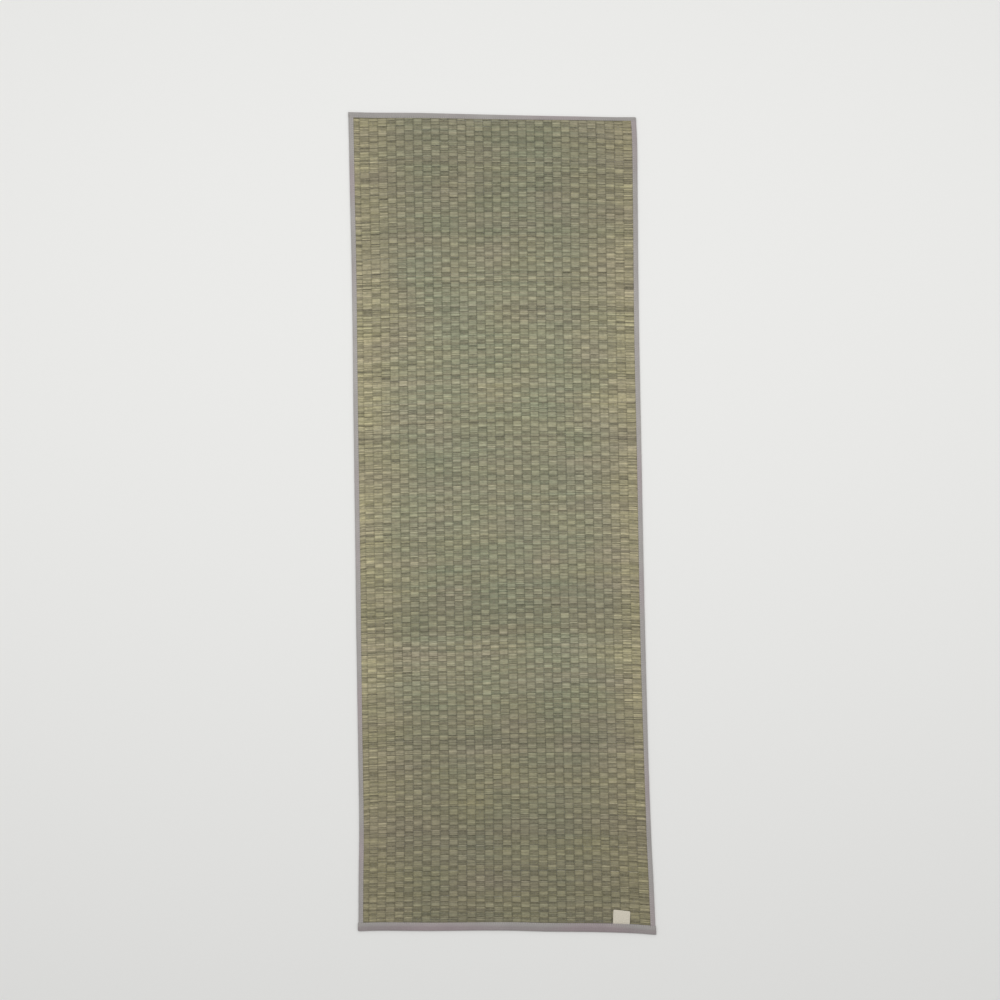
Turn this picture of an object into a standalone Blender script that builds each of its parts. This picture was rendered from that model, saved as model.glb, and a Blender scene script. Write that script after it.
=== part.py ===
# A tatami yoga mat: a panel of woven rush, bound along its four edges with folded cotton tape,
# with a small blank label sewn at one corner. It lies flat, face up, on the surface z = 0.
#
# Every piece is first laid out square, as it was cut, with x across the mat and y along it.
# lie_on_floor() then gives each point the place where the uneven mat really lies.

import math

import bpy
import bmesh

MM = 0.001

# Driving dimensions, in metres
MAT_WIDTH = 600 * MM       # over the side bindings, at the mat's waist
MAT_LENGTH = 1700 * MM     # over the end bindings, on the centre line
PANEL_THICK = 3.4 * MM     # two layers of rush with the warp between them
RIM_THICK = 1.4 * MM       # the rush where the bindings press it flat
TAPE_THICK = 1.0 * MM      # cotton tape with its edges turned under
SIDE_BAND = 9 * MM         # how far each binding reaches over the rush
TOP_BAND = 10 * MM
BOTTOM_BAND = 18 * MM
END_OVERHANG = 1.0 * MM    # the end bindings wrap the corners, so they stick out past the sides
FOLD_RADIUS = 1.2 * MM     # the tape's fold at the mat's outer edge
GAP = 0.3 * MM             # clearance that separate solids keep

LABEL_LEFT = 214.5 * MM    # from the centre line to the foot of the label's left edge
LABEL_WIDTH = 34.4 * MM
LABEL_RISE = 29.4 * MM     # how much of its left edge shows above the binding
LABEL_TURN = math.radians(4)   # it was sewn a little crooked, turned clockwise
LABEL_THICK = 1.0 * MM

STEPS_ALONG = 34
STEPS_ACROSS = 12

# Derived sizes
HALF_WIDTH = MAT_WIDTH / 2
HALF_LENGTH = MAT_LENGTH / 2
BAND_THICK = RIM_THICK + 2 * GAP + 2 * TAPE_THICK
SLOT_LOW = TAPE_THICK
SLOT_HIGH = BAND_THICK - TAPE_THICK
RIM_LOW = SLOT_LOW + GAP
RIM_HIGH = SLOT_HIGH - GAP
RIM_INSET = TAPE_THICK + GAP

# How far the edges lie outside the square mat, in millimetres. The ends flare, the waist doesn't,
# and both ends slant down to the right.
SIDE_COLUMNS = ("along", "left", "right")
SIDE_ROWS = (
    (0.00, 7.0, 7.0),
    (0.06, 5.2, 3.9),
    (0.12, 3.3, 0.7),
    (0.25, 2.6, -1.8),
    (0.45, 2.1, -2.1),
    (0.65, 1.0, -1.5),
    (0.80, 0.3, -0.3),
    (0.90, 1.7, 1.8),
    (1.00, 2.8, 3.1),
)
END_COLUMNS = ("across", "top", "bottom")
END_ROWS = (
    (0.00, 12.2, 5.1),
    (0.25, 8.0, 3.0),
    (0.50, 2.2, 1.0),
    (0.75, -3.6, -3.9),
    (1.00, -10.8, -12.2),
)


def table_value(rows, columns, name, share):
    """A column of a table at a share of its first column, on a smooth curve through the rows."""
    column = columns.index(name)
    share = min(max(share, 0.0), 1.0)
    last = len(rows) - 1
    row = next((i for i in range(last) if share <= rows[i + 1][0]), last - 1)
    before, after = max(row - 1, 0), min(row + 2, last)
    start, end = rows[row][0], rows[row + 1][0]
    low, high = rows[row][column], rows[row + 1][column]
    slope_low = (high - rows[before][column]) / (end - rows[before][0])
    slope_high = (rows[after][column] - low) / (rows[after][0] - start)
    step = end - start
    t = (share - start) / step
    return (
        low * (2 * t**3 - 3 * t**2 + 1)
        + slope_low * step * (t**3 - 2 * t**2 + t)
        + high * (3 * t**2 - 2 * t**3)
        + slope_high * step * (t**3 - t**2)
    )


def lie_on_floor(x, y, z):
    """Moves a point of the square mat to where the uneven mat lies."""
    across = x / MAT_WIDTH + 0.5
    along = y / MAT_LENGTH + 0.5
    left = table_value(SIDE_ROWS, SIDE_COLUMNS, "left", along) * MM
    right = table_value(SIDE_ROWS, SIDE_COLUMNS, "right", along) * MM
    top = table_value(END_ROWS, END_COLUMNS, "top", across) * MM
    bottom = table_value(END_ROWS, END_COLUMNS, "bottom", across) * MM
    return (
        x - left * (1 - across) + right * across,
        y + bottom * (1 - along) + top * along,
        z,
    )


def spaced(start, end, steps):
    return [start + (end - start) * i / steps for i in range(steps + 1)]


def cloth_material(name, colour, roughness):
    material = bpy.data.materials.new(name)
    material.use_nodes = True
    shader = material.node_tree.nodes["Principled BSDF"]
    shader.inputs["Base Color"].default_value = (*colour, 1.0)
    shader.inputs["Roughness"].default_value = roughness
    shader.inputs["Metallic"].default_value = 0.0
    return material


def add_piece(name, bm, material):
    """Lays the finished shape on the floor and makes it an object."""
    for vert in bm.verts:
        vert.co = lie_on_floor(*vert.co)
    bmesh.ops.recalc_face_normals(bm, faces=bm.faces)
    mesh = bpy.data.meshes.new(name)
    bm.to_mesh(mesh)
    bm.free()
    mesh.materials.append(material)
    piece = bpy.data.objects.new(name, mesh)
    bpy.context.scene.collection.objects.link(piece)
    return piece


def bridge_rings(bm, rings):
    """Joins each ring of vertices to the next with quads. All rings have the same count."""
    for ring, following in zip(rings, rings[1:]):
        count = len(ring)
        for i in range(count):
            j = (i + 1) % count
            bm.faces.new((ring[i], ring[j], following[j], following[i]))


def rectangle_ring(bm, side_inset, bottom_inset, top_inset, z):
    """The outline of the square mat, set in from its edges, as one ring of vertices."""
    right = HALF_WIDTH - side_inset
    top = HALF_LENGTH - top_inset
    bottom = -HALF_LENGTH + bottom_inset
    xs = spaced(-right, right, STEPS_ACROSS)
    ys = spaced(bottom, top, STEPS_ALONG)
    points = [(x, bottom) for x in xs[:-1]]
    points += [(right, y) for y in ys[:-1]]
    points += [(x, top) for x in reversed(xs[1:])]
    points += [(-right, y) for y in reversed(ys[1:])]
    return [bm.verts.new((x, y, z)) for x, y in points]


def make_rush_panel(material):
    """The woven panel: a flat field whose thinner rim fits in the bindings."""
    bm = bmesh.new()
    field = (SIDE_BAND + GAP, BOTTOM_BAND + GAP, TOP_BAND + GAP)
    rim = (RIM_INSET, RIM_INSET, RIM_INSET)
    levels = (
        (field, 0.0),
        (field, RIM_LOW),
        (rim, RIM_LOW),
        (rim, RIM_HIGH),
        (field, RIM_HIGH),
        (field, PANEL_THICK),
    )
    rings = [rectangle_ring(bm, *inset, z) for inset, z in levels]
    bridge_rings(bm, rings)
    bm.faces.new(rings[0])
    bm.faces.new(rings[-1])
    return add_piece("rush_panel", bm, material)


def make_side_band(name, side, material):
    """A side binding: tape folded round the mat's long edge. side is -1 on the left, 1 on the right."""
    bm = bmesh.new()
    soft = FOLD_RADIUS * 0.3
    middle = BAND_THICK / 2
    # from the top lip, round the fold to the lower lip, and back through the slot
    section = (
        (SIDE_BAND, BAND_THICK),
        (FOLD_RADIUS, BAND_THICK),
        (soft, BAND_THICK - soft),
        (0.0, middle + soft),
        (0.0, middle - soft),
        (soft, soft),
        (FOLD_RADIUS, 0.0),
        (SIDE_BAND, 0.0),
        (SIDE_BAND, SLOT_LOW),
        (TAPE_THICK, SLOT_LOW),
        (TAPE_THICK, SLOT_HIGH),
        (SIDE_BAND, SLOT_HIGH),
    )
    start = -HALF_LENGTH + BOTTOM_BAND + GAP
    end = HALF_LENGTH - TOP_BAND - GAP
    rings = [
        [bm.verts.new((side * (HALF_WIDTH - inset), y, z)) for inset, z in section]
        for y in spaced(start, end, STEPS_ALONG)
    ]
    bridge_rings(bm, rings)
    bm.faces.new(rings[0])
    bm.faces.new(rings[-1])
    return add_piece(name, bm, material)


def pocket_ring(bm, half_width, y, low, high, corner):
    """A ring round the end binding's pocket: its upper points, right end, lower points, left end."""
    xs = spaced(-half_width + corner, half_width - corner, STEPS_ACROSS)
    points = [(x, high) for x in xs]
    points += [(half_width, high - corner), (half_width, low + corner)]
    points += [(x, low) for x in reversed(xs)]
    points += [(-half_width, low + corner), (-half_width, high - corner)]
    return [bm.verts.new((x, y, z)) for x, z in points]


def cap_pocket_ring(bm, ring):
    """Closes a pocket ring with a strip of quads, which follows the binding's bow."""
    upper = ring[: STEPS_ACROSS + 1]
    right_high, right_low = ring[STEPS_ACROSS + 1 : STEPS_ACROSS + 3]
    lower = list(reversed(ring[STEPS_ACROSS + 3 : 2 * STEPS_ACROSS + 4]))
    left_low, left_high = ring[2 * STEPS_ACROSS + 4 :]
    for i in range(STEPS_ACROSS):
        bm.faces.new((upper[i], upper[i + 1], lower[i + 1], lower[i]))
    bm.faces.new((upper[-1], right_high, right_low, lower[-1]))
    bm.faces.new((upper[0], lower[0], left_low, left_high))


def make_end_band(name, end, reach, material):
    """An end binding: a long pocket of tape over the mat's short edge. end is -1 for the bottom."""
    bm = bmesh.new()
    soft = FOLD_RADIUS * 0.3
    middle = BAND_THICK / 2
    outer = HALF_WIDTH + END_OVERHANG
    inner = HALF_WIDTH - TAPE_THICK
    levels = (
        (inner, TAPE_THICK, SLOT_LOW, SLOT_HIGH, 0.2 * MM),
        (inner, reach, SLOT_LOW, SLOT_HIGH, 0.2 * MM),
        (outer, reach, 0.0, BAND_THICK, soft),
        (outer, FOLD_RADIUS, 0.0, BAND_THICK, soft),
        (outer, soft, soft, BAND_THICK - soft, soft),
        (outer - soft, 0.0, middle - soft, middle + soft, soft / 2),
    )
    rings = [
        pocket_ring(bm, half_width, end * (HALF_LENGTH - inset), low, high, corner)
        for half_width, inset, low, high, corner in levels
    ]
    bridge_rings(bm, rings)
    cap_pocket_ring(bm, rings[0])
    cap_pocket_ring(bm, rings[-1])
    return add_piece(name, bm, material)


def make_label(material):
    """The blank woven label, lying on the rush with its lower edge against the bottom binding."""
    bm = bmesh.new()
    foot = -HALF_LENGTH + BOTTOM_BAND + GAP
    right = LABEL_LEFT + LABEL_WIDTH
    lean = math.tan(LABEL_TURN)
    rise_right = LABEL_RISE - LABEL_WIDTH * lean
    corners = (
        (LABEL_LEFT, foot),
        (right, foot),
        (right + lean * rise_right, foot + rise_right),
        (LABEL_LEFT + lean * LABEL_RISE, foot + LABEL_RISE),
    )
    low = PANEL_THICK + GAP
    face = bm.faces.new([bm.verts.new((x, y, low)) for x, y in corners])
    raised = bmesh.ops.extrude_face_region(bm, geom=[face], use_keep_orig=True)
    top = [item for item in raised["geom"] if isinstance(item, bmesh.types.BMVert)]
    bmesh.ops.translate(bm, verts=top, vec=(0.0, 0.0, LABEL_THICK))
    return add_piece("label", bm, material)


def main():
    for old in list(bpy.data.objects):
        bpy.data.objects.remove(old, do_unlink=True)

    rush = cloth_material("rush", (0.26, 0.245, 0.16), 0.6)
    tape = cloth_material("tape", (0.37, 0.34, 0.34), 0.85)
    blank = cloth_material("label_cloth", (0.60, 0.56, 0.47), 0.8)

    make_rush_panel(rush)
    make_side_band("left_binding", -1, tape)
    make_side_band("right_binding", 1, tape)
    make_end_band("top_binding", 1, TOP_BAND, tape)
    make_end_band("bottom_binding", -1, BOTTOM_BAND, tape)
    make_label(blank)


main()
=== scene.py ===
import math

import bpy
import numpy as np
from mathutils import Matrix, Vector


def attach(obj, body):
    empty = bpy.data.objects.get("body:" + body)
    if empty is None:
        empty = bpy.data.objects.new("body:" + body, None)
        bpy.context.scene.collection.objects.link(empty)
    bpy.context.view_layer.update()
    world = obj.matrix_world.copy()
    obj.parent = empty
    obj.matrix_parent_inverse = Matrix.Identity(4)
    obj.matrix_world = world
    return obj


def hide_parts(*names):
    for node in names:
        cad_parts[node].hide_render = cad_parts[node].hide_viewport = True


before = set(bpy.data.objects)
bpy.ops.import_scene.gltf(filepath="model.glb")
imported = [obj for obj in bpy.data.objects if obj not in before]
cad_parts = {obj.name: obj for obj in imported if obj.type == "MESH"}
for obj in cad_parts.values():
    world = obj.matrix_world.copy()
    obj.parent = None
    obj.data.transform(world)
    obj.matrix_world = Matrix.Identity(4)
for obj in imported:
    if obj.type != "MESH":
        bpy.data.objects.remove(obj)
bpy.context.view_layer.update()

mm = 0.001
print("frame loaded:", ", ".join(sorted(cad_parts)))

# The mat as it lies on the floor. Every piece is first laid out square, x across the mat and y
# along it, and lieOnFloor then moves its points to where the uneven mat has them. The three tables
# are in millimetres, and follow the photo a little more closely than those of the solids do.
mat = {
    "width": 600 * mm,
    "length": 1700 * mm,
    "sides": (   # share of the length, left edge outward, right edge outward
        (0.00, 7.0, 5.7),
        (0.06, 4.8, 3.5),
        (0.12, 2.4, 0.7),
        (0.25, 2.1, -1.8),
        (0.45, 1.8, -2.4),
        (0.65, 1.0, -1.7),
        (0.80, 0.3, -0.3),
        (0.90, 1.7, 1.8),
        (0.97, 2.5, 3.2),
        (1.00, 2.8, 1.7),
    ),
    "ends": (    # share of the width, top edge upward, bottom edge upward
        (0.00, 12.6, 5.3),
        (0.08, 10.4, 5.6),
        (0.25, 7.9, 3.2),
        (0.50, 1.5, 1.3),
        (0.65, -2.2, -2.6),
        (0.81, -5.8, -5.4),
        (0.93, -8.6, -9.2),
        (1.00, -9.4, -13.4),
    ),
    "weave": (   # share of the length, how far the columns and the rows of checks stray, in mm
        (0.00, -4.0, 1.0),
        (0.10, -2.0, 0.5),
        (0.20, 0.0, 0.5),
        (0.35, 0.0, -3.2),
        (0.60, 0.0, -3.4),
        (0.725, 0.0, -2.5),
        (0.85, 0.4, 0.5),
        (0.946, 1.1, 4.0),
        (1.00, 1.5, 4.5),
    ),
    "skewReach": 250 * mm,    # the slanting ends pull the rows askew about this far in
    "rowBow": 5.8 * mm,       # the rows hang lower at the sides than in the middle
    "rowBowFrom": 0.12,       # and less so nearer the bottom end than this share of the length
    "strayFrom": (12 * mm, 45 * mm),    # the columns keep to the sides, and stray from here on
    "crowding": 2.0 * mm,     # towards the top end the columns crowd towards the middle
    "crowdingFrom": (0.45, 0.85),       # shares of the length
}
halfWidth = mat["width"] / 2
halfLength = mat["length"] / 2


def readTable(rows, column, share):
    # a smooth curve through one column of a table, read at shares of its first column
    table = np.array(rows, float)
    at, value = table[:, 0], table[:, column]
    slope = np.gradient(value, at)
    slope[1:-1] = (value[2:] - value[:-2]) / (at[2:] - at[:-2])
    share = np.clip(share, at[0], at[-1])
    row = np.clip(np.searchsorted(at, share, side="right") - 1, 0, len(at) - 2)
    step = at[row + 1] - at[row]
    t = (share - at[row]) / step
    return (
        value[row] * (2 * t**3 - 3 * t**2 + 1)
        + slope[row] * step * (t**3 - 2 * t**2 + t)
        + value[row + 1] * (3 * t**2 - 2 * t**3)
        + slope[row + 1] * step * (t**3 - t**2)
    )


def lieOnFloor(points, woven=False):
    x, y, z = np.moveaxis(np.asarray(points, float), -1, 0)
    across = x / mat["width"] + 0.5
    along = y / mat["length"] + 0.5
    strayX = strayY = 0
    if woven:     # rows of rush lie square again further in, and stray a little
        topPull = np.exp((y - halfLength) / mat["skewReach"])
        bottomPull = np.exp((-halfLength - y) / mat["skewReach"])
        bow = mat["rowBow"] * smoothStep(along, 0, mat["rowBowFrom"]) * (2 * across - 1) ** 2
        strayY = readTable(mat["weave"], 2, along) * mm - bow
        inside = smoothStep(halfWidth - np.abs(x), *mat["strayFrom"])
        crowd = mat["crowding"] * smoothStep(along, *mat["crowdingFrom"])
        crowd = crowd * np.sin(math.pi * (2 * across - 1))
        strayX = readTable(mat["weave"], 1, along) * mm * inside - crowd
    else:         # the bindings share the slant out evenly
        topPull, bottomPull = along, 1 - along
    left = readTable(mat["sides"], 1, along) * mm
    right = readTable(mat["sides"], 2, along) * mm
    top = readTable(mat["ends"], 1, across) * mm
    bottom = readTable(mat["ends"], 2, across) * mm
    movedX = x - left * (1 - across) + right * across + strayX
    movedY = y + bottom * bottomPull + top * topPull + strayY
    return np.stack([movedX, movedY, z], -1)


def softNoise(source, shape, blur):
    # random ups and downs that change slowly; blur is how many steps one of them spans each way
    rough = np.fft.fft2(source.normal(size=shape))
    down = np.exp(-2 * (np.pi * blur[0] * np.fft.fftfreq(shape[0])) ** 2)
    across = np.exp(-2 * (np.pi * blur[1] * np.fft.fftfreq(shape[1])) ** 2)
    soft = np.fft.ifft2(rough * down[:, None] * across[None, :]).real
    return (soft - soft.mean()) / soft.std()


def smoothStep(value, start, end):
    t = np.clip((value - start) / (end - start), 0, 1)
    return t * t * (3 - 2 * t)


def linearColour(code):
    # an sRGB hex colour as the linear numbers that the shader works with
    parts = [int(code[i:i + 2], 16) / 255 for i in (0, 2, 4)]
    return [p / 12.92 if p <= 0.04045 else ((p + 0.055) / 1.055) ** 2.4 for p in parts] + [1.0]


def addNode(tree, kind, settings=None, links=None):
    # one node with its settings, which are its own properties or its sockets' values, and links
    node = tree.nodes.new("ShaderNode" + kind)
    for key, value in (settings or {}).items():
        if isinstance(key, str) and hasattr(node, key):
            setattr(node, key, value)
        else:
            node.inputs[key].default_value = value
    for key, socket in (links or {}).items():
        tree.links.new(socket, node.inputs[key])
    return node


def startMaterial(name, roughness):
    material = bpy.data.materials.new(name)
    material.use_nodes = True
    shader = material.node_tree.nodes["Principled BSDF"]
    shader.inputs["Roughness"].default_value = roughness
    return material, material.node_tree, shader


def makePiece(name, points, faces, material, numbers=None, maps=None, smooth=True):
    # a mesh object that rides on the mat's only body; numbers are kept at its points
    mesh = bpy.data.meshes.new(name)
    mesh.from_pydata(points, [], faces)
    if smooth:
        mesh.shade_smooth()
    for key, values in (numbers or {}).items():
        values = np.asarray(values, np.float32)
        kind, field = ("FLOAT", "value") if values.ndim == 1 else ("FLOAT_VECTOR", "vector")
        mesh.attributes.new(key, kind, "POINT").data.foreach_set(field, values.ravel())
    if maps is not None:
        corner = np.empty(len(mesh.loops), np.int32)
        mesh.loops.foreach_get("vertex_index", corner)
        layer = mesh.uv_layers.new(name="OFBake")
        layer.uv.foreach_set("vector", np.asarray(maps, np.float32)[corner].ravel())
    mesh.materials.append(material)
    piece = bpy.data.objects.new(name, mesh)
    bpy.context.scene.collection.objects.link(piece)
    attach(piece, "root")
    return piece


def strandShape(centres, halfAcross, halfHigh, across, ridge=0.0):
    # strands with a four-cornered section, rounded by smooth shading. centres has a row of places
    # for each strand, across is the flat direction at right angles to it, and ridge shifts its
    # upper and lower corners sideways. The lower faces come first, then the upper ones, then the
    # caps, so that a map baked from above ends with the upper ones.
    strands, places = centres.shape[:2]
    halfAcross = np.broadcast_to(halfAcross, (strands, places))
    halfHigh = np.broadcast_to(halfHigh, (strands, places))
    ridge = np.broadcast_to(ridge, (strands, places))
    sideways = np.array([*across, 0.0])
    corners = ((-1, 0), (0, -1), (1, 0), (0, 1))
    points = np.empty((strands, places, 4, 3))
    for i, (out, up) in enumerate(corners):
        shift = out * halfAcross + abs(up) * ridge * halfAcross
        points[:, :, i] = centres + shift[..., None] * sideways
        points[:, :, i, 2] += up * halfHigh
    number = np.arange(strands * places * 4).reshape(strands, places, 4)
    faces = []
    for side in range(4):
        a, b = number[:, :, side], number[:, :, (side + 1) % 4]
        quads = np.stack([a[:, :-1], b[:, :-1], b[:, 1:], a[:, 1:]], -1)
        faces.append(quads.reshape(-1, 4))
    faces.append(number[:, 0, ::-1])
    faces.append(number[:, -1])
    faces = np.concatenate(faces)
    if across[0] > 0:     # strands along the mat are wound the other way round
        faces = faces[:, ::-1]
    return points, faces


# Dried rush, the stem of the igusa plant, cut green, dipped in pale clay and woven wet: a satin,
# waxy skin with fine ribs, grey-green in the middle of each stem, straw at its root and tip
rushFinish = {
    "green": "979B80",
    "khaki": "A09D80",
    "straw": "ADA681",
    "stops": (0.15, 0.45, 0.80),       # the hue at which a rush has each of these three colours
    "clay": "A89D89",
    "hollowShade": 0.69,     # painted shade, with some dust, darkens what lies low between the floats
    "roughness": 0.46,
    "glossSpread": (-0.06, 0.12),      # waxy spots and dusty ones
    "ribPitch": 0.55 * mm,   # the stem's ribs are 0.2 mm apart; drawn coarser, so that they show
    "ribLength": 9 * mm,
    "ribDepth": 0.14 * mm,
    # painted shade in the ribs' grooves and a painted highlight on their crests
    "ribShadeAndHighlight": (0.76, 1.20),
    "fleckLength": 6 * mm,
    "fleckWidth": 1.6 * mm,
    "fleckHue": 0.12,
}


def rushMaterial():
    look = rushFinish
    material, tree, shader = startMaterial("dried rush, woven", look["roughness"])
    place = addNode(tree, "TexCoord").outputs["Object"]
    hue = addNode(tree, "Attribute", {"attribute_name": "rushHue"}).outputs["Fac"]
    clay = addNode(tree, "Attribute", {"attribute_name": "rushClay"}).outputs["Fac"]
    tone = addNode(tree, "Attribute", {"attribute_name": "rushTone"}).outputs["Fac"]
    low = addNode(tree, "Attribute", {"attribute_name": "rushDepth"}).outputs["Fac"]

    # flecks along the stem shift its hue a little
    fleckWide = 1 / look["fleckWidth"]
    flecksAt = addNode(
        tree, "Mapping", {"Scale": (1 / look["fleckLength"], fleckWide, fleckWide)},
        {"Vector": place},
    )
    flecks = addNode(
        tree, "TexNoise", {"Scale": 1.0, "Detail": 3.0, "Roughness": 0.6},
        {"Vector": flecksAt.outputs["Vector"]},
    )
    fleckHue = addNode(
        tree, "MapRange",
        {"From Min": 0.3, "From Max": 0.7, "To Min": -look["fleckHue"], "To Max": look["fleckHue"]},
        {"Value": flecks.outputs["Fac"]},
    )
    mixedHue = addNode(tree, "Math", {"operation": "ADD"}, {0: hue, 1: fleckHue.outputs["Result"]})
    colours = addNode(tree, "ValToRGB", links={"Fac": mixedHue.outputs["Value"]})
    ramp = colours.color_ramp
    ramp.elements[0].position = look["stops"][0]
    ramp.elements[1].position = look["stops"][2]
    ramp.elements[0].color = linearColour(look["green"])
    ramp.elements[1].color = linearColour(look["straw"])
    ramp.elements.new(look["stops"][1]).color = linearColour(look["khaki"])
    clayed = addNode(
        tree, "Mix", {"data_type": "RGBA", "B": linearColour(look["clay"])},
        {"Factor": clay, "A": colours.outputs["Color"]},
    )

    # ribs run along the stem, with painted shade in their grooves and a painted highlight on their
    # crests
    ribWide = 1 / look["ribPitch"]
    ribsAt = addNode(
        tree, "Mapping", {"Scale": (1 / look["ribLength"], ribWide, ribWide)}, {"Vector": place}
    )
    ribs = addNode(
        tree, "TexNoise", {"Scale": 1.0, "Detail": 2.0}, {"Vector": ribsAt.outputs["Vector"]}
    )
    groove, crest = look["ribShadeAndHighlight"]
    ribShading = addNode(
        tree, "MapRange", {"From Min": 0.35, "From Max": 0.65, "To Min": groove, "To Max": crest},
        {"Value": ribs.outputs["Fac"]},
    )
    # painted shade, with some dust, where a rush lies low and where it crosses between the cords
    depthTone = addNode(
        tree, "MapRange",
        {"From Min": 0.0, "From Max": 1.0, "To Min": 1.0, "To Max": look["hollowShade"]},
        {"Value": low},
    )
    toned = addNode(tree, "Math", {"operation": "MULTIPLY"}, {0: tone, 1: ribShading.outputs["Result"]})
    toned = addNode(
        tree, "Math", {"operation": "MULTIPLY"},
        {0: toned.outputs["Value"], 1: depthTone.outputs["Result"]},
    )
    colour = addNode(
        tree, "VectorMath", {"operation": "SCALE"},
        {0: clayed.outputs["Result"], "Scale": toned.outputs["Value"]},
    )
    tree.links.new(colour.outputs["Vector"], shader.inputs["Base Color"])

    # the skin is duller where it is dusty
    waxy, dusty = look["glossSpread"]
    gloss = addNode(
        tree, "MapRange",
        {"From Min": 0.3, "From Max": 0.7, "To Min": look["roughness"] + waxy,
         "To Max": look["roughness"] + dusty},
        {"Value": flecks.outputs["Fac"]},
    )
    tree.links.new(gloss.outputs["Result"], shader.inputs["Roughness"])
    bump = addNode(
        tree, "Bump", {"Strength": 0.6, "Distance": look["ribDepth"]},
        {"Height": ribs.outputs["Fac"]},
    )
    tree.links.new(bump.outputs["Normal"], shader.inputs["Normal"])
    return material


# Cotton tape, plain woven and dyed warm grey: quite matt, with a fine grid of threads and a soft
# bloom of fibres at grazing angles
tapeFinish = {
    "colour": "A19D9A",
    "faded": "A29597",          # the dye has faded unevenly towards mauve
    "threadPitch": 0.8 * mm,    # the real threads are 0.35 mm apart; drawn coarser, so that they show
    "threadDepth": 0.12 * mm,
    "roughness": 0.88,
    "sheen": 0.25,
}

# Label cloth, tightly woven cream cotton: paler, finer and a little smoother than the tape
labelFinish = {
    "colour": "CFC8B8",
    "faded": "CFC8B8",
    "threadPitch": 0.55 * mm,
    "threadDepth": 0.06 * mm,
    "roughness": 0.82,
    "sheen": 0.15,
}

# Warp cord, twisted from undyed hemp: dull and fibrous, a dusty straw; the weave's fine grid
# stands for its twist
warpFinish = {
    "colour": "98927A",
    "faded": "98927A",
    "threadPitch": 0.8 * mm,
    "threadDepth": 0.12 * mm,
    "roughness": 0.88,
    "sheen": 0.25,
}

# Spun polyester sewing thread, dyed to match the tape: a slight lustre along the twist
threadFinish = {"colour": "B7B0AD", "roughness": 0.6, "twistPitch": 0.6 * mm}

# What all the cloths have in common: yarn spun thick and thin, and worn patches
clothVaries = {
    "yarnLength": 2.5 * mm,
    "patchLength": 45 * mm,
    "crossingTones": (0.90, 1.09),
    "yarnTones": (0.86, 1.14),
    "patchTones": (0.95, 1.05),
}


def clothMaterial(name, look):
    # a plain weave, drawn from clothPlace, which counts metres round and along the folded cloth;
    # clothFade is how far a spot has changed to the faded colour, clothTone how light it is
    material, tree, shader = startMaterial(name, look["roughness"])
    place = addNode(tree, "Attribute", {"attribute_name": "clothPlace"}).outputs["Vector"]
    counted = addNode(
        tree, "VectorMath", {"operation": "SCALE", "Scale": math.pi / look["threadPitch"]}, {0: place}
    )
    waves = addNode(tree, "VectorMath", {"operation": "SINE"}, {0: counted.outputs["Vector"]})
    parts = addNode(tree, "SeparateXYZ", links={"Vector": waves.outputs["Vector"]})
    crossing = addNode(
        tree, "Math", {"operation": "MULTIPLY"}, {0: parts.outputs["X"], 1: parts.outputs["Y"]}
    )
    swell = addNode(tree, "Math", {"operation": "ABSOLUTE"}, {0: crossing.outputs["Value"]})
    yarnsAt = addNode(
        tree, "VectorMath", {"operation": "SCALE", "Scale": 1 / clothVaries["yarnLength"]}, {0: place}
    )
    yarns = addNode(
        tree, "TexNoise", {"Scale": 1.0, "Detail": 4.0, "Roughness": 0.65},
        {"Vector": yarnsAt.outputs["Vector"]},
    )
    patchesAt = addNode(
        tree, "VectorMath", {"operation": "SCALE", "Scale": 1 / clothVaries["patchLength"]}, {0: place}
    )
    patches = addNode(
        tree, "TexNoise", {"Scale": 1.0, "Detail": 1.0}, {"Vector": patchesAt.outputs["Vector"]}
    )
    tone = addNode(tree, "Attribute", {"attribute_name": "clothTone"}).outputs["Fac"]
    for value, least, most, (dark, light) in (
        (crossing.outputs["Value"], -1.0, 1.0, clothVaries["crossingTones"]),
        (yarns.outputs["Fac"], 0.25, 0.75, clothVaries["yarnTones"]),
        (patches.outputs["Fac"], 0.25, 0.75, clothVaries["patchTones"]),
    ):
        shade = addNode(
            tree, "MapRange",
            {"From Min": least, "From Max": most, "To Min": dark, "To Max": light}, {"Value": value},
        )
        toned = addNode(
            tree, "Math", {"operation": "MULTIPLY"}, {0: tone, 1: shade.outputs["Result"]}
        )
        tone = toned.outputs["Value"]
    fade = addNode(tree, "Attribute", {"attribute_name": "clothFade"}).outputs["Fac"]
    dyed = addNode(
        tree, "Mix",
        {"data_type": "RGBA", "A": linearColour(look["colour"]), "B": linearColour(look["faded"])},
        {"Factor": fade},
    )
    tinted = addNode(
        tree, "VectorMath", {"operation": "SCALE"}, {0: dyed.outputs["Result"], "Scale": tone}
    )
    tree.links.new(tinted.outputs["Vector"], shader.inputs["Base Color"])
    bump = addNode(
        tree, "Bump", {"Strength": 0.7, "Distance": look["threadDepth"]},
        {"Height": swell.outputs["Value"]},
    )
    tree.links.new(bump.outputs["Normal"], shader.inputs["Normal"])
    shader.inputs["Sheen Weight"].default_value = look["sheen"]
    return material


def threadMaterial():
    look = threadFinish
    material, tree, shader = startMaterial("spun sewing thread", look["roughness"])
    place = addNode(tree, "TexCoord").outputs["Object"]
    twist = addNode(
        tree, "TexNoise", {"Scale": 1 / look["twistPitch"], "Detail": 1.0}, {"Vector": place}
    )
    tone = addNode(
        tree, "MapRange", {"From Min": 0.3, "From Max": 0.7, "To Min": 0.9, "To Max": 1.08},
        {"Value": twist.outputs["Fac"]},
    )
    tinted = addNode(
        tree, "VectorMath", {"operation": "SCALE", 0: linearColour(look["colour"])[:3]},
        {"Scale": tone.outputs["Result"]},
    )
    tree.links.new(tinted.outputs["Vector"], shader.inputs["Base Color"])
    return material


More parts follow.
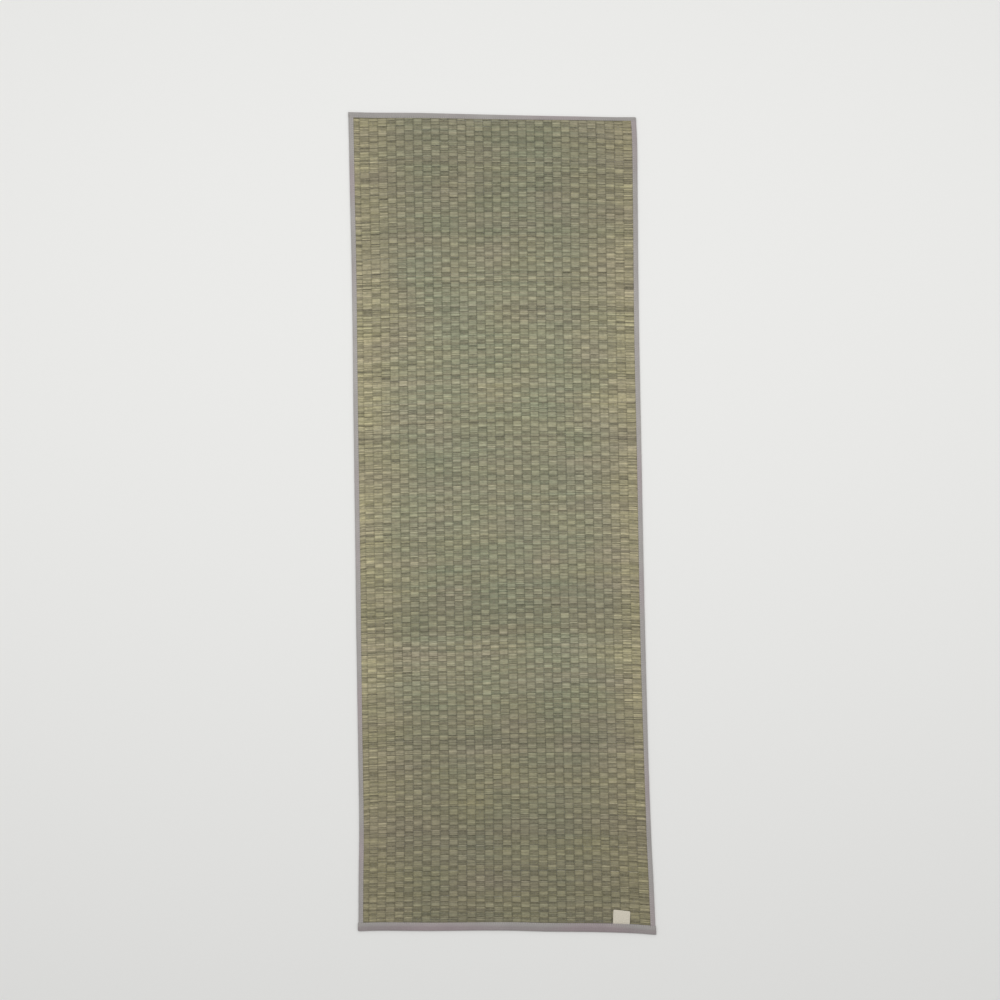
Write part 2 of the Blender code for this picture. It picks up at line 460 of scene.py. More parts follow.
# The four bindings: cotton tape folded over the edge, its own edges turned under, sewn through
tape = {
    "reach": {"left": 9.1 * mm, "right": 9.4 * mm, "top": 11.4 * mm, "bottom": 17.1 * mm},
    # how much wider they get from left to right, or the side ones from the bottom to the top
    "widens": {"left": 0.12, "right": 0.08, "top": -0.30, "bottom": 0.05},
    "tone": {"left": 1.04, "right": 1.02, "top": 0.92, "bottom": 0.93},
    # painted shade, with some soil, darkens each tape towards its outer fold, which turns away from the
    # light
    "foldShadeAndSoil": {"left": 0.927, "right": 0.916, "top": 0.98, "bottom": 0.83},   # at the outer fold
    "faded": {"left": 0.06, "right": 0.06, "top": 0.06, "bottom": 0.20},
    "foldFaded": {"left": 0.0, "right": 0.0, "top": 0.0, "bottom": 0.6},
    "height": 4.0 * mm,
    "faceHeight": 3.88 * mm,     # the seam's level, before the thread pulls it down
    "flatHeight": 3.86 * mm,     # from the seam to the fold
    "foldInset": 2.2 * mm,       # where the face starts to bend down
    "wideReach": 12 * mm,        # a tape wider than this has more rows across its face
    "wall": 1.0 * mm,            # two layers, where the edge is turned under
    "overhang": {"top": 0.2 * mm, "bottom": 1.2 * mm},   # how far they stick out past the side ones
    "cornerRound": {"top": (1.2 * mm, 2.6 * mm), "bottom": (2.6 * mm, 1.2 * mm)},   # left, right
    "stitchPitch": 4.6 * mm,
    "stitchInset": 1.8 * mm,     # from the tape's inner edge
    "stitchSink": 0.34 * mm,     # how deep the seam pulls the tape down
    "sinkBetween": 0.55,         # and what share of that between two needle holes
    "threadWidth": 0.6 * mm,
    "dimpleTone": 0.76,          # the seam's dimples hold shade and dust
    "puffTone": 1.07,            # and between them the tape puffs up into the light
    "puff": 0.16 * mm,           # how far the face swells between the seam and the fold
    "wobble": 0.3 * mm,          # of the inner edge
    "foldWobble": 0.12 * mm,
    "faceWobble": 0.05 * mm,
}
# the section's rounded inner edge and its fold: distance from the edge or fold and height, in mm
tapeEdge = ((0.0, 3.05), (0.05, 3.45), (0.30, 3.78), (0.85, 3.88))
tapeFold = ((1.3, 3.84), (0.6, 3.46), (0.16, 2.82))
# the tapes' ends: how far inside the end in mm, how high the section still is, how far it is drawn
# in in mm, and whether it is slotted
tapeEnds = {
    "closed": (      # an end tape closes over the corner
        (0.0, 0.80, 0.45, 0),
        (0.25, 0.96, 0.12, 0),
        (0.8, 1.0, 0.0, 0),
        (1.8, 1.0, 0.0, 0),
        (1.8, 1.0, 0.0, 1),
    ),
    "tucked": (      # a side tape dives under the end tape
        (-6.0, 0.45, 1.3, 1),
        (-0.8, 0.47, 1.3, 1),
        (-0.1, 0.97, 0.05, 1),
    ),
}
# a stitch has four sections, the outer two in its needle holes
stitch = {
    "gap": 0.25 * mm,            # from the middle of a needle hole
    "skew": 0.10 * mm,           # it lies a little askew
    "rise": (-0.22, 0.06, 0.06, -0.22),     # over the pulled-down tape, in mm
    "taper": (0.75, 1.0, 1.0, 0.75),
}
# lengthwise changes of the side tapes' tone, from the top end: share of the length, lightness
tapeTones = (
    (0.00, 0.94),
    (0.05, 0.95),
    (0.13, 1.005),
    (0.33, 1.030),
    (0.55, 1.015),
    (0.72, 0.990),
    (0.85, 0.970),
    (1.00, 0.960),
)

# The rush itself. Five rushes pass over one pair of warp cords and under the next, then five the
# other way, which makes the checks
rush = {
    "columnPitch": 18.31 * mm,
    "firstColumn": -287.6 * mm,  # the middle of the leftmost column of checks
    "columns": 32,
    "picks": 5,
    "checkHeights": (            # share of the length from the top, height of a check in mm
        (0.00, 10.7),
        (0.25, 10.1),
        (0.50, 10.3),
        (0.75, 10.4),
        (1.00, 10.7),
    ),
    "firstHidden": 4.8 * mm,     # how much of the first row of checks is under the top tape
    "underTape": 5.4 * mm,
    "width": 2.35 * mm,
    "thickness": 1.25 * mm,
    "middle": 1.72 * mm,         # height of the woven layer's middle over the floor
    "bow": 0.85 * mm,            # how far a float rises above it, or sinks below it
    "shoulder": 0.39,        # a float lies level this far each way, as a share of the column's pitch
    "pinch": 0.80,           # how narrow a rush gets where it passes between the cords
    "spread": 0.10 * mm,     # floats push apart on the face and crowd together beneath it
    "warpWidth": 0.7 * mm,
    "warpApart": 2.4 * mm,       # the two cords of a pair
    "warpInset": 5 * mm,         # their ends lie this far in from the top end
    "warpSections": 43,
    "freeOfEnds": (-1 * mm, 7 * mm),        # where the rush rises from under the tapes, measured
    "freeOfSides": (-0.5 * mm, 5 * mm),     # from the tapes' inner edges
    "sideZone": (100 * mm, 75 * mm),    # how far in the paler root ends and tips show, left and right
    "brownZone": (30 * mm, 165 * mm),       # over which the sides' brown fades out
    "pieces": 4,
    "seed": 7,
}
# lengthwise changes of colour, from the top end: share of the length, how much pale clay sticks to
# the rushes, how far they have turned towards straw
rushAges = (
    (0.00, 0.19, 0.02),
    (0.20, 0.15, 0.00),
    (0.50, 0.14, 0.00),
    (0.70, 0.18, 0.04),
    (0.85, 0.16, 0.17),
    (1.00, 0.16, 0.19),
)

# bands of lighter and darker rush, from the top end: share of the length, lightness; some bands fade
# into the next and some end within a row or two. Partly the rushes' own tone and partly painted light:
# the sharp step near 0.64, painted shade and then a painted highlight, stands for the roll crease, and
# the last rows hold painted shade along the bottom tape
rushTonesAndPaintedLight = (
    (0.00, 0.91),
    (0.11, 0.91),
    (0.155, 0.965),
    (0.165, 1.00),
    (0.22, 1.045),
    (0.31, 1.085),
    (0.40, 1.09),
    (0.45, 1.03),
    (0.535, 1.065),
    (0.57, 1.005),
    (0.635, 0.965),
    (0.645, 1.04),
    (0.71, 1.00),
    (0.73, 0.905),
    (0.79, 0.89),
    (0.85, 0.895),
    (0.858, 0.835),
    (0.92, 0.825),
    (0.97, 0.765),
    (0.99, 0.73),
    (1.00, 0.72),
)

# how unlike the rushes are, as shares where no unit is given
rushVaries = {
    "crown": (0.90, 0.13),       # a float's rise at its check's edges, and how much more in the middle
    "flatterAtSides": 0.40,
    "rise": 0.10,
    "drift": 0.9 * mm,           # rows wander
    "stagger": 0.07 * mm,        # and floats lie out of line
    "columnWobble": 0.25 * mm,
    "thick": 0.07,               # from rush to rush
    "thickAlong": 0.04,          # and along each
    "ridge": 0.22,
    "rowTone": 0.008,
    "ownTone": 0.068,            # each rush's own lightness
    "ownToneAtSides": 1.3,       # and how much more it varies there
    "floatTone": 0.105,
    "floatToneAtSides": 0.085,
    "checkTone": 0.02,
    "runTone": 0.02,
    "endTone": 0.08,             # root ends are paler, tips darker
    "worn": 0.065,               # the right side is a little darker and yellower
    "alike": 0.16,               # towards the bottom end the rushes are more alike
    "alikeFrom": (0.6, 0.85),    # shares of the length from the top
    "hue": 0.34,
    "hueBrown": 0.16,
    "hueAtSides": 0.18,
    "hueEnd": 0.03,
    "hueOwn": 0.05,
    "huePatch": 0.045,
    "hueRun": 0.04,
    "clayBrown": 0.11,
    "clayPatch": 0.10,
    "clayOwn": 0.08,
    "floatDepth": 0.24,          # how much painted shade and dust a rush has halfway down
    # less painted shade and dust at the sides
    "lessShadeAndDustAtSides": 0.35,
}

def layPicks():
    # from the top end down: each rush's place along the mat, its check's row and its place in that
    rows = []
    height = rush["checkHeights"][0][1] * mm
    edge = halfLength - tape["reach"]["top"] + rush["firstHidden"] + height
    highest = halfLength - tape["reach"]["top"] + rush["underTape"]
    lowest = -halfLength + tape["reach"]["bottom"] - rush["underTape"]
    check = 1
    while edge > lowest:
        share = 0.5 - edge / mat["length"]
        height = float(readTable(rush["checkHeights"], 1, share)) * mm
        for n in range(rush["picks"]):
            part = (n + 0.5) / rush["picks"]
            rows.append((edge - part * height, check, 1 - 2 * part))
        edge -= height
        check += 1
    rows = [row for row in rows if lowest < row[0] < highest]
    return np.array(rows).T


def laySections():
    # where each rush has a section: both shoulders of its float in each column, and between two
    # columns, where it crosses from the face to the back
    pitch = rush["columnPitch"]
    inside = halfWidth - tape["reach"]["left"]
    sections = [(-inside - rush["underTape"], 0, 0.0), (-inside - 0.5 * mm, 0, 0.0)]
    for column in range(rush["columns"]):
        centre = rush["firstColumn"] + column * pitch
        for shift, rise in ((-rush["shoulder"], 1.0), (rush["shoulder"], 1.0), (0.5, 0.0)):
            x = centre + shift * pitch
            if abs(x) < inside - 1 * mm:
                sections.append((x, column, rise))
    sections += [(inside + 0.5 * mm, 0, 0.0), (inside + rush["underTape"], 0, 0.0)]
    return np.array(sections).T


def atCorners(values):
    # numbers that the sections have, repeated for the four corners of each
    return np.repeat(values, 4, axis=1).reshape(-1)


def weaveRush(material):
    source = np.random.default_rng(rush["seed"])
    varies = rushVaries
    placeY, check, inCheck = layPicks()
    placeX, column, rise = laySections()
    shape = (len(placeY), len(placeX))
    one = (len(placeY), 1)
    fromTop = 0.5 - placeY / mat["length"]

    # pressed flat under the tapes
    innerTop = halfLength - tape["reach"]["top"]
    innerBottom = -halfLength + tape["reach"]["bottom"]
    freeTop = smoothStep(innerTop - placeY, *rush["freeOfEnds"])
    freeBottom = smoothStep(placeY - innerBottom, *rush["freeOfEnds"])
    fromSide = halfWidth - tape["reach"]["left"] - np.abs(placeX)
    freeSides = smoothStep(fromSide, *rush["freeOfSides"])
    free = (freeTop * freeBottom)[:, None] * freeSides[None, :]
    side = (1 - smoothStep(fromSide, 0, np.where(placeX < 0, *rush["sideZone"])))[None, :]
    brown = (1 - smoothStep(fromSide, *rush["brownZone"]))[None, :]

    onFace = np.where((check[:, None] + column[None, :]) % 2 == 0, 1.0, -1.0)
    crown = varies["crown"][0] + varies["crown"][1] * (1 - inCheck**2)
    strength = crown[:, None] * (1 - varies["flatterAtSides"] * side)
    strength = strength * (1 + varies["rise"] * softNoise(source, shape, (2, 3)))
    bow = rise[None, :] * onFace * free
    drift = varies["drift"] * softNoise(source, shape, (40, 9))
    drift = drift + varies["stagger"] * softNoise(source, shape, (0, 4))
    wobble = varies["columnWobble"] * softNoise(source, shape, (12, 0))
    centres = np.empty((*shape, 3))
    centres[..., 0] = placeX[None, :] + wobble * free
    centres[..., 1] = placeY[:, None] + rush["spread"] * inCheck[:, None] * bow + drift * free
    flatMiddle = tape["height"] / 2
    centres[..., 2] = flatMiddle + (rush["middle"] - flatMiddle) * free + rush["bow"] * bow * strength

    thick = 1 + varies["thick"] * source.normal(size=one)
    thick = thick + varies["thickAlong"] * softNoise(source, shape, (0, 3))
    crossing = (rise == 0)[None, :] * freeSides[None, :]
    halfAcross = rush["width"] / 2 * np.clip(thick, 0.86, 1.2) * (1 - (1 - rush["pinch"]) * crossing)
    halfHigh = rush["thickness"] / 2 * np.clip(thick, 0.9, 1.1)
    ridge = varies["ridge"] * softNoise(source, shape, (0, 6))
    centres[..., 2] = np.maximum(centres[..., 2], halfHigh)     # none sinks into the floor

    # each rush has its own colour, paler or browner at its root and tip
    rootLeft = source.choice((-1.0, 1.0), size=one)
    ends = -rootLeft * np.sign(placeX)[None, :] * side
    # lengthwise bands: partly the rushes' own tone, partly painted shade and highlight at the roll
    # crease and painted shade along the bottom tape
    length = readTable(rushTonesAndPaintedLight, 1, fromTop)[:, None]
    rows = varies["rowTone"] * softNoise(source, one, (6, 0))
    own = varies["ownTone"] * source.normal(size=one) * (1 + varies["ownToneAtSides"] * side)
    eachFloat = source.normal(size=(len(placeY), rush["columns"]))[:, column.astype(int)]
    eachFloat = (varies["floatTone"] + varies["floatToneAtSides"] * side) * eachFloat
    eachCheck = varies["checkTone"] * softNoise(source, shape, (rush["picks"] / 2, 1))
    run = varies["runTone"] * softNoise(source, shape, (0, 10)) + eachFloat + eachCheck
    worn = varies["worn"] * side * (placeX > 0)[None, :]
    alike = 1 - varies["alike"] * smoothStep(fromTop, *varies["alikeFrom"])[:, None]
    tone = length * (1 + rows + alike * (own + run) + varies["endTone"] * ends - worn)
    tone = np.clip(tone, 0.55, 1.5)
    clayed, aged = [readTable(rushAges, n, fromTop)[:, None] for n in (1, 2)]
    hueSpread = (
        varies["hueOwn"] * source.normal(size=one)
        + varies["huePatch"] * softNoise(source, shape, (10, 4))
        + varies["hueRun"] * softNoise(source, shape, (1, 6))
    )
    hue = varies["hue"] + aged + varies["hueBrown"] * brown + worn + varies["hueAtSides"] * side
    hue = hue + varies["hueEnd"] * np.maximum(ends, 0) + (1 - 0.5 * side) * hueSpread
    clay = clayed + varies["clayBrown"] * brown
    clay = clay + varies["clayPatch"] * softNoise(source, shape, (6, 4))
    clay = np.clip(clay + varies["clayOwn"] * source.normal(size=one), 0, 1)
    # painted shade, with some dust: full where a rush crosses between the cords, less on sunken floats
    depth = np.where(crossing > 0.5, 1.0, varies["floatDepth"] - varies["floatDepth"] * bow)
    depth = depth * (1 - varies["lessShadeAndDustAtSides"] * side)

    count = len(placeY)
    cuts = np.linspace(0, count, rush["pieces"] + 1).astype(int)
    looks = {"rushTone": tone, "rushHue": hue, "rushClay": clay, "rushDepth": depth}
    inRow = np.array([0.06, 0.5, 0.94, 0.5])[None, None, :]    # a section's corners on the map
    for n, (start, stop) in enumerate(zip(cuts, cuts[1:])):
        part, partFaces = strandShape(
            centres[start:stop], halfAcross[start:stop], halfHigh[start:stop], (0, 1), ridge[start:stop]
        )
        row = np.broadcast_to(np.arange(stop - start)[:, None, None], part.shape[:3])
        mapU = (part[..., 0] + halfWidth) / mat["width"]
        mapV = 1 - (row + inRow) / (stop - start)
        piece = makePiece(
            f"rush_weave_{n + 1}", lieOnFloor(part.reshape(-1, 3), woven=True), partFaces,
            material,
            numbers={key: atCorners(values[start:stop]) for key, values in looks.items()},
            maps=np.stack([mapU, mapV], -1).reshape(-1, 2),
        )
        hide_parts("rush_panel")
    print(f"rush woven: {count} rushes, {len(placeX)} sections each")


def stringWarps(material):
    # the cords that the rushes go over and under, in pairs at the middle of each column
    high = halfLength - rush["warpInset"]
    low = -halfLength + tape["reach"]["bottom"] / 2
    along = np.linspace(low, high, rush["warpSections"])
    columns = rush["firstColumn"] + np.arange(rush["columns"]) * rush["columnPitch"]
    aside = rush["warpApart"] / 2
    placeX = np.sort(np.concatenate([columns - aside, columns + aside]))
    centres = np.empty((len(placeX), len(along), 3))
    centres[..., 0] = placeX[:, None]
    centres[..., 1] = along[None, :]
    centres[..., 2] = rush["middle"]
    half = rush["warpWidth"] / 2
    points, faces = strandShape(centres, half, half, (1, 0))
    run = points[..., 1].reshape(-1)
    place = np.stack([points[..., 0].reshape(-1), run, 0 * run], -1)
    piece = makePiece(
        "warp_cords", lieOnFloor(points.reshape(-1, 3), woven=True), faces, material,
        numbers={
            "clothPlace": place, "clothTone": np.ones(len(run)), "clothFade": np.zeros(len(run)),
        },
    )
    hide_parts("rush_panel")
    print(f"warps strung: {len(placeX)} cords")


def reachAt(edge, share):
    # how wide a binding is on the face, at a share of its run
    return tape["reach"][edge] * (1 + tape["widens"][edge] * share)


def shareOfRun(edge, run):
    # a place along a binding as a share of its run
    half = halfWidth if edge in ("top", "bottom") else halfLength
    return (run / half + 1) / 2


def tapeSection(reach):
    # the folded tape's section as (inset from the fold, height), round from the upper inner edge,
    # with the seam's row and how many rows the upper half has
    seam = reach - tape["stitchInset"]
    rows = 3 if reach < tape["wideReach"] else 6
    flat = np.linspace(seam - 1.0 * mm, tape["foldInset"], rows)
    swell = tape["puff"] * np.sin(np.linspace(0.2, 0.8, rows) * math.pi)
    upper = [(reach - back * mm, high * mm) for back, high in tapeEdge]
    upper.append((seam, tape["faceHeight"]))
    upper += [(inset, tape["flatHeight"] + rise) for inset, rise in zip(flat, swell)]
    upper += [(inset * mm, high * mm) for inset, high in tapeFold]
    middle = tape["height"] / 2
    lower = [(inset, 2 * middle - high) for inset, high in reversed(upper)]
    slot = [(tape["wall"], tape["wall"]), (tape["wall"], tape["height"] - tape["wall"])]
    return np.array(upper + [(0.0, middle)] + lower + slot), len(tapeEdge), len(upper)


def foldTape(edge, material, thread, seed):
    # one binding: its section swept along the edge, with the seam's puckers, and its stitches
    source = np.random.default_rng(seed)
    reach = tape["reach"][edge]
    isEnd = edge in ("top", "bottom")
    if isEnd:
        first, last = -halfWidth - tape["overhang"][edge], halfWidth + tape["overhang"][edge]
        sewnFrom, sewnTo = first + 2 * mm, last - 2 * mm
    else:
        first = -halfLength + reachAt("bottom", int(edge == "right"))
        last = halfLength - reachAt("top", int(edge == "right"))
        sewnFrom, sewnTo = first, last
    holes = np.arange(sewnFrom, sewnTo, tape["stitchPitch"])
    holes = holes + (sewnTo - holes[-1]) / 2
    body = np.sort(np.concatenate([holes, (holes[1:] + holes[:-1]) / 2]))

    ends = tapeEnds["closed" if isEnd else "tucked"]
    before = [(first + out * mm, flat, drawn * mm, slot) for out, flat, drawn, slot in ends]
    after = [(last - out * mm, flat, drawn * mm, slot) for out, flat, drawn, slot in ends[::-1]]
    between = [(at, 1.0, 0.0, 1) for at in body if before[-1][0] < at < after[0][0]]
    stations = np.array(before + between + after)
    run = stations[:, 0]
    squeeze, drawnIn, slotted = stations[:, 1:2], stations[:, 2:3], stations[:, 3:4]

    section, seamRow, half = tapeSection(reach)
    count = len(section)
    inset = np.broadcast_to(section[:, 0], (len(run), count)).copy()
    high = np.broadcast_to(section[:, 1], (len(run), count)).copy()
    inset[:, -2:] = np.where(slotted > 0, inset[:, -2:], reach)    # the slot's two rows

    # the inner edge wanders a little, and the seam pulls the tape down, deepest at the needle holes
    one = (len(run), 1)
    wander = tape["wobble"] * softNoise(source, one, (60, 0))
    share = np.clip(inset / reach, 0, 1)
    inset *= reachAt(edge, shareOfRun(edge, run))[:, None] / reach
    inset += wander * share
    inset += tape["foldWobble"] * softNoise(source, one, (25, 0)) * (1 - share)
    atHole = np.isin(run, holes)[:, None]
    sink = tape["stitchSink"] * np.where(atHole, 1.0, tape["sinkBetween"])
    for row, pull in ((seamRow, 1.0), (seamRow - 1, 0.4), (seamRow + 1, 0.35)):
        high[:, row] -= (sink * pull)[:, 0]
        high[:, 2 * half - row] += (sink * pull)[:, 0]
    high[:, : half - 1] += tape["faceWobble"] * softNoise(source, one, (6, 0))
    middle = tape["height"] / 2
    high = np.maximum(middle + (high - middle) * squeeze, 0.0)
    # an end tape is drawn in from both sides, a side tape from its fold
    inset = inset + drawnIn * (1 - 2 * inset / reach if isEnd else 1.0)
    if isEnd:
        for radius, fromEnd in zip(tape["cornerRound"][edge], (run - first, last - run)):
            out = np.clip(1 - fromEnd / radius, 0, 1)[:, None]
            inset += radius * (1 - np.sqrt(1 - out**2)) * (1 - np.clip(inset / reach, 0, 1))

    def place(insetAt, runAt, highAt):
        runAt = np.broadcast_to(runAt, insetAt.shape)
        if edge == "left":
            flat = (insetAt - halfWidth, runAt, highAt)
        elif edge == "right":
            flat = (halfWidth - insetAt, runAt, highAt)
        elif edge == "top":
            flat = (runAt, halfLength - insetAt, highAt)
        else:
            flat = (runAt, insetAt - halfLength, highAt)
        return np.stack(flat, -1)

    points = place(inset, run[:, None], high)
    number = np.arange(len(run) * count).reshape(len(run), count)
    following = np.roll(number, -1, axis=1)
    quads = np.stack([number[:-1], following[:-1], following[1:], number[1:]], -1).reshape(-1, 4)
    faces = [list(q) for q in quads.tolist()] + [number[0, ::-1].tolist(), number[-1].tolist()]
    if edge in ("left", "top"):
        faces = [face[::-1] for face in faces]
    onwards = np.roll(section, -1, axis=0) - section
    steps = np.hypot(onwards[:, 0], onwards[:, 1])
    aroundFold = np.concatenate([[0], np.cumsum(steps)[:-1]])
    clothPlace = np.stack([
        np.broadcast_to(aroundFold, inset.shape),
        np.broadcast_to(run[:, None], inset.shape),
        np.zeros(inset.shape),
    ], -1)
    # painted light: each tape darkens towards its outer fold with painted shade and some soil, and its
    # inner edge holds a painted highlight
    lighter = smoothStep(share, 0.35, 0.85)
    clothTone = tape["tone"][edge] * (tape["foldShadeAndSoil"][edge] * (1 - lighter) + lighter)
    clothTone = clothTone * (1 + 0.02 * softNoise(source, one, (12, 0)))
    if not isEnd:
        clothTone = clothTone * readTable(tapeTones, 1, 0.5 - run / mat["length"])[:, None]
    dimpled = np.where(atHole[:, 0], tape["dimpleTone"], tape["puffTone"])
    for row, part in ((seamRow, 1.0), (seamRow - 1, 0.6), (seamRow + 1, 0.6)):
        for faceOrBack in (row, 2 * half - row):
            clothTone[:, faceOrBack] *= 1 + part * (dimpled - 1)
    patchy = tape["faded"][edge] + 0.28 * softNoise(source, one, (18, 0))
    clothFade = np.clip(patchy + tape["foldFaded"][edge] * (1 - lighter), 0, 1)
    binding = makePiece(
        edge + "_tape", lieOnFloor(points.reshape(-1, 3)), faces, material,
        numbers={
            "clothPlace": clothPlace.reshape(-1, 3),
            "clothTone": clothTone.reshape(-1), "clothFade": clothFade.reshape(-1),
        },
    )
    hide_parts(edge + "_binding")

    # the stitches, on the face and beneath
    seam = reach - tape["stitchInset"]
    starts, stops = holes[:-1] + stitch["gap"], holes[1:] - stitch["gap"]
    along = np.stack([starts, starts * 0.7 + stops * 0.3, starts * 0.3 + stops * 0.7, stops], 1)
    insets = seam + np.interp(along, run, wander[:, 0]) * (seam / reach)
    insets = insets * reachAt(edge, shareOfRun(edge, along)) / reach
    skew = stitch["skew"] * np.array([-1.0, -0.4, 0.4, 1.0])[None, :]
    rise = np.array(stitch["rise"])[None, :] * mm
    faceHigh = np.broadcast_to(tape["faceHeight"] - tape["stitchSink"] * 0.8 + rise, along.shape)
    backHigh = tape["height"] - faceHigh
    halfThread = tape["threadWidth"] / 2 * np.array(stitch["taper"])[None, :]
    backHigh = np.maximum(backHigh, halfThread)     # none sinks into the floor
    centres = np.concatenate([place(insets + skew, along, highs) for highs in (faceHigh, backHigh)])
    across = (0, 1) if isEnd else (1, 0)
    points, faces = strandShape(centres, np.tile(halfThread, (len(centres), 1)), halfThread, across)
    stitches = makePiece(
        edge + "_stitches", lieOnFloor(points.reshape(-1, 3)), faces, thread
    )
    print(f"{edge} tape folded and sewn: {len(run)} sections, {len(holes) - 1} stitches")


# The label: a small piece of label cloth, sewn in under the bottom tape, a little crooked
label = {
    "left": 214.1 * mm,
    "width": 34.0 * mm,
    "rise": 29.8 * mm,
    "turn": 4.0,                # degrees, clockwise
    "tucked": 2.0 * mm,
    "thickness": 0.8 * mm,
    "liesAt": 3.35 * mm,        # on top of the floats
    "tuckedThickness": 0.44 * mm,    # pressed under the tape
    "tuckedAt": 2.5 * mm,
    "edge": 0.45 * mm,
    "corner": 2.2 * mm,
    "hem": 3.0 * mm,            # its sides are folded under
    "hemRise": 0.14 * mm,
    "curl": 0.5 * mm,           # its free corners lift
    "ripple": 0.10 * mm,
}


def makeLabel(material):
    width, turn = label["width"], math.tan(math.radians(label["turn"]))
    foot = -halfLength + tape["reach"]["bottom"] - label["tucked"]
    edge, hem = label["edge"], label["hem"]
    innerAcross = np.linspace(hem + 0.5 * mm, width - hem - 0.5 * mm, 13)
    rim = [0, 0.15 * edge, 0.5 * edge, edge, hem * 0.5, hem]
    across = np.array(rim + innerAcross.tolist() + [width - r for r in reversed(rim)])
    full = label["rise"] + label["tucked"]
    innerAlong = np.linspace(0, full - 1.2 * mm, 15)
    along = np.array(innerAlong.tolist() + [full - edge, full - 0.5 * edge, full - 0.15 * edge, full])
    u, v = np.meshgrid(across, along)
    fromSide = np.minimum(u, width - u)
    fromEdge = np.minimum(fromSide, full - v)
    rounded = np.sqrt(np.clip(1 - (1 - np.clip(fromEdge / edge, 0, 1)) ** 2, 0, 1))
    hems = label["hemRise"] * (1 - smoothStep(fromSide, hem, hem + 0.5 * mm))
    curl = label["curl"] * smoothStep(v / full, 0.55, 1.0) * (np.abs(2 * u / width - 1) ** 3)
    ripple = label["ripple"] * np.sin(u / width * 9.0 + 1.0) * np.sin(v / full * 5.0)
    # pressed thin and low where the tape is sewn over it
    free = smoothStep(v, label["tucked"] + 0.2 * mm, label["tucked"] + 4.5 * mm)
    low = label["tuckedAt"] + (label["liesAt"] - label["tuckedAt"] + ripple) * free + curl
    thinHalf = label["tuckedThickness"] / 2
    halfThick = thinHalf + (label["thickness"] / 2 - thinHalf) * free
    hems = hems * free
    top = low + halfThick + (halfThick + hems) * rounded
    bottom = low + halfThick - halfThick * rounded
    # its two free corners are rounded
    radius = label["corner"]
    nearSide = np.clip(1 - fromSide / radius, 0, 1)
    nearTop = np.clip(1 - (full - v) / radius, 0, 1)
    u = u + radius * nearSide * (1 - np.sqrt(1 - nearTop**2 / 2)) * np.where(u < width / 2, 1, -1)
    v = v - radius * nearTop * (1 - np.sqrt(1 - nearSide**2 / 2))
    flatX = label["left"] + u + v * turn
    flatY = foot + v - u * turn * smoothStep(v / full, 0.0, 0.9)
    upper = np.stack([flatX, flatY, top], -1).reshape(-1, 3)
    lower = np.stack([flatX, flatY, bottom], -1).reshape(-1, 3)
    rows, columns = u.shape
    number = np.arange(rows * columns).reshape(rows, columns)
    quads = np.stack([number[:-1, :-1], number[:-1, 1:], number[1:, 1:], number[1:, :-1]], -1)
    quads = quads.reshape(-1, 4)
    total = rows * columns
    border = np.concatenate([number[0, :-1], number[:-1, -1], number[-1, :0:-1], number[:0:-1, 0]])
    after = np.roll(border, -1)
    sides = np.stack([border, border + total, after + total, after], -1)
    faces = np.concatenate([quads, quads[:, ::-1] + total, sides])
    place = np.stack([u, v, 0 * u], -1).reshape(-1, 3)
    piece = makePiece(
        "label_cloth", lieOnFloor(np.concatenate([upper, lower])), faces, material,
        numbers={
            "clothPlace": np.concatenate([place, place]),
            "clothTone": np.ones(2 * total), "clothFade": np.zeros(2 * total),
        },
    )
    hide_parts("label")
    print("label made")


# The studio: a pale paper floor, an overhead softbox a little above the middle and a weaker key light
# from beyond the top end
studio = {
    "floorColour": "E6E6E4",
    "floorRoughness": 0.9,
    "floorSize": 9.0,
    "toothPerMetre": 700.0,      # the paper's fibres clump at about 1.4 mm
    "ambient": 0.562,
    "overhead": {"at": (0.0, 0.63, 2.68), "wide": 6.0, "deep": 1.64, "power": 55.7},
    "key": {"at": (0.0, 4.51, 2.4), "wide": 2.0, "deep": 0.8, "power": 21},
}

# The camera, placed from the mat's outline in the picture
view = {
    "lens": 62.0,
    "sensor": 36.0,
    "distance": 3.588,
    "target": (0.0013, 0.0399, 0.0034),    # what the middle of the picture shows
    "tilt": math.radians(2.4),             # it stands a little towards the bottom end
    "lean": math.atan2(30.7, 1659.0),      # the mat lies turned by this much in the picture
}


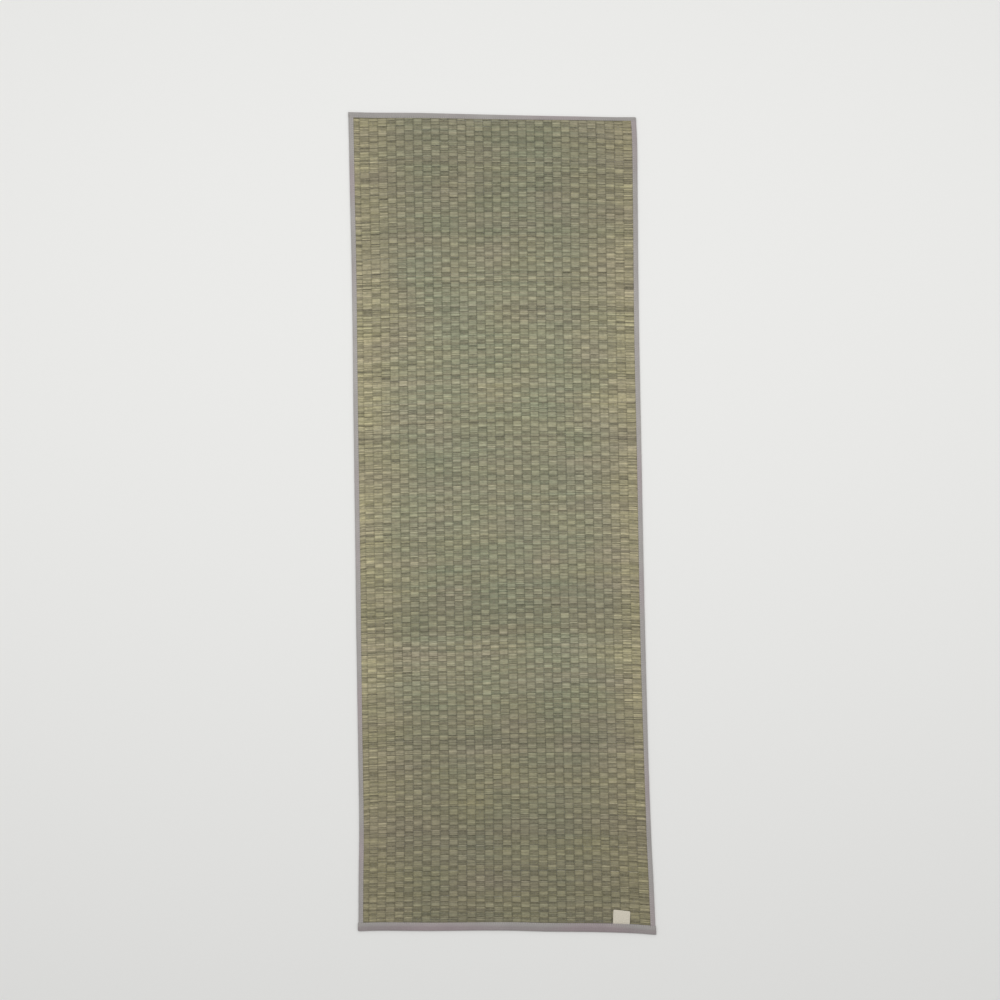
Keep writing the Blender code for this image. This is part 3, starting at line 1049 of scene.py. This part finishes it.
def setStudio():
    world = bpy.data.worlds.new("studio air")
    bpy.context.scene.world = world
    world.use_nodes = True
    back = world.node_tree.nodes["Background"]
    back.inputs["Color"].default_value = (1.0, 1.0, 1.0, 1.0)
    back.inputs["Strength"].default_value = studio["ambient"]
    for name in ("overhead", "key"):
        lamp = bpy.data.lights.new(name + " softbox", "AREA")
        lamp.shape = "RECTANGLE"
        lamp.size = studio[name]["wide"]
        lamp.size_y = studio[name]["deep"]
        lamp.energy = studio[name]["power"]
        box = bpy.data.objects.new(name + " softbox", lamp)
        box.location = studio[name]["at"]
        towards = -box.location
        box.rotation_euler = towards.to_track_quat("-Z", "Y").to_euler()
        box.visible_camera = False
        bpy.context.scene.collection.objects.link(box)

    # seamless background paper, rolled: matt, with a faint tooth
    material, tree, shader = startMaterial("background paper", studio["floorRoughness"])
    place = addNode(tree, "TexCoord").outputs["Object"]
    tooth = addNode(
        tree, "TexNoise", {"Scale": studio["toothPerMetre"], "Detail": 2.0}, {"Vector": place}
    )
    tone = addNode(
        tree, "MapRange", {"From Min": 0.3, "From Max": 0.7, "To Min": 0.985, "To Max": 1.01},
        {"Value": tooth.outputs["Fac"]},
    )
    tinted = addNode(
        tree, "VectorMath", {"operation": "SCALE", 0: linearColour(studio["floorColour"])[:3]},
        {"Scale": tone.outputs["Result"]},
    )
    tree.links.new(tinted.outputs["Vector"], shader.inputs["Base Color"])
    half = studio["floorSize"] / 2
    mesh = bpy.data.meshes.new("floor")
    mesh.from_pydata(
        [(-half, -half, 0), (half, -half, 0), (half, half, 0), (-half, half, 0)], [], [(0, 1, 2, 3)]
    )
    mesh.materials.append(material)
    floor = bpy.data.objects.new("floor", mesh)
    bpy.context.scene.collection.objects.link(floor)


def setCamera():
    tilt, lean = view["tilt"], view["lean"]
    upWay = Vector((math.sin(lean), math.cos(lean), 0.0))
    back = Vector((-upWay.x * math.sin(tilt), -upWay.y * math.sin(tilt), math.cos(tilt)))
    across = upWay.cross(back).normalized()
    up = back.cross(across)
    camera = bpy.data.objects.new("camera", bpy.data.cameras.new("camera"))
    camera.data.lens = view["lens"]
    camera.data.sensor_width = view["sensor"]
    place = Vector(view["target"]) + back * view["distance"]
    turn = Matrix((across, up, back)).transposed()
    camera.matrix_world = Matrix.Translation(place) @ turn.to_4x4()
    bpy.context.scene.collection.objects.link(camera)
    bpy.context.scene.camera = camera
    bpy.context.scene.view_settings.view_transform = "Standard"


setStudio()
setCamera()
print("studio and camera set")

driedRush = rushMaterial()
cottonTape = clothMaterial("cotton tape, plain woven", tapeFinish)
labelCloth = clothMaterial("label cloth, cream cotton", labelFinish)
warpCord = clothMaterial("warp cord, twisted hemp", warpFinish)
sewingThread = threadMaterial()
print("materials mixed")

weaveRush(driedRush)
stringWarps(warpCord)
for seed, edge in enumerate(("left", "right", "top", "bottom"), start=11):
    foldTape(edge, cottonTape, sewingThread, seed)
makeLabel(labelCloth)
